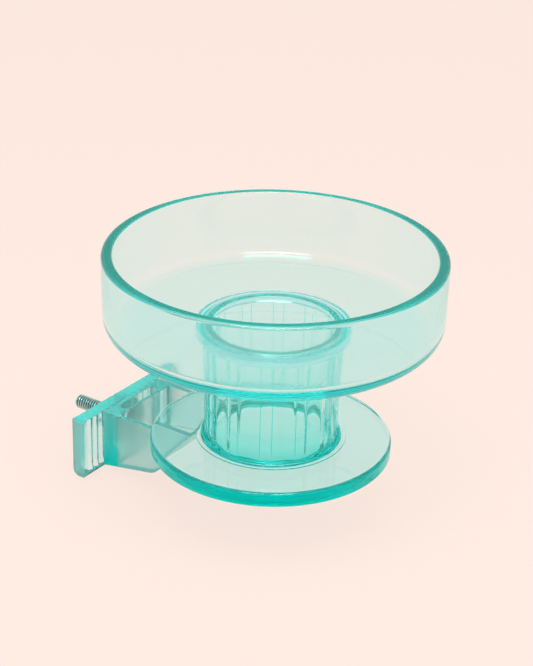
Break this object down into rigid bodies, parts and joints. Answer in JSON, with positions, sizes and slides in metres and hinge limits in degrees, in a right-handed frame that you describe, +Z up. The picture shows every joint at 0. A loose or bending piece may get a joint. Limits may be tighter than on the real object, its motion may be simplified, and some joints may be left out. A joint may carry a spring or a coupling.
{
  "type": "cage bird bath",
  "caption": "Clear teal plastic bird bath: a round dish on a fluted column and disc, carried by a bracket whose ribbed plate clamps to cage wires with a stud and wing nut.",
  "frame": {"origin": "on the stud's axis, in the plane of the rib crests that press on the cage wires", "axes": "+X from the cage wall towards the dish, along the stud; +Z up, along the column; +Y to the left when looking from the dish to the cage"},
  "size_m": [0.1755, 0.14, 0.1159],
  "materials": {
    "clear_plastic": "polished transparent teal acrylic, deeper teal seen along its edges",
    "zinc_steel": "zinc-plated steel"
  },
  "bodies": {
    "bracket": {"base_disc": "clear_plastic", "bracket_arm": "clear_plastic", "clamp_plate": "clear_plastic", "stud": "zinc_steel"},
    "column": {"column": "clear_plastic"},
    "dish": {"dish": "clear_plastic"},
    "washer": {"washer": "zinc_steel"},
    "wing_nut": {"wing_nut": "zinc_steel"}
  },
  "joints": [
    {"name": "column_lift", "type": "slide", "parent": "bracket", "child": "column", "axis": [0, 0, 1], "range_m": [0, 0.03]},
    {"name": "dish_lift", "type": "slide", "parent": "column", "child": "dish", "axis": [0, 0, 1], "range_m": [0, 0.03]},
    {"name": "washer_travel", "type": "slide", "parent": "bracket", "child": "washer", "axis": [-1, 0, 0], "range_m": [0, 0.0166]},
    {"name": "nut_turn", "type": "hinge", "parent": "washer", "child": "wing_nut", "pos_m": [0, 0, 0], "axis": [-1, 0, 0], "range_deg": [0, 4680]}
  ],
  "couplings": [
    {"joint": "washer_travel", "follows": "nut_turn", "m_per_rad": 0.00020213}
  ]
}
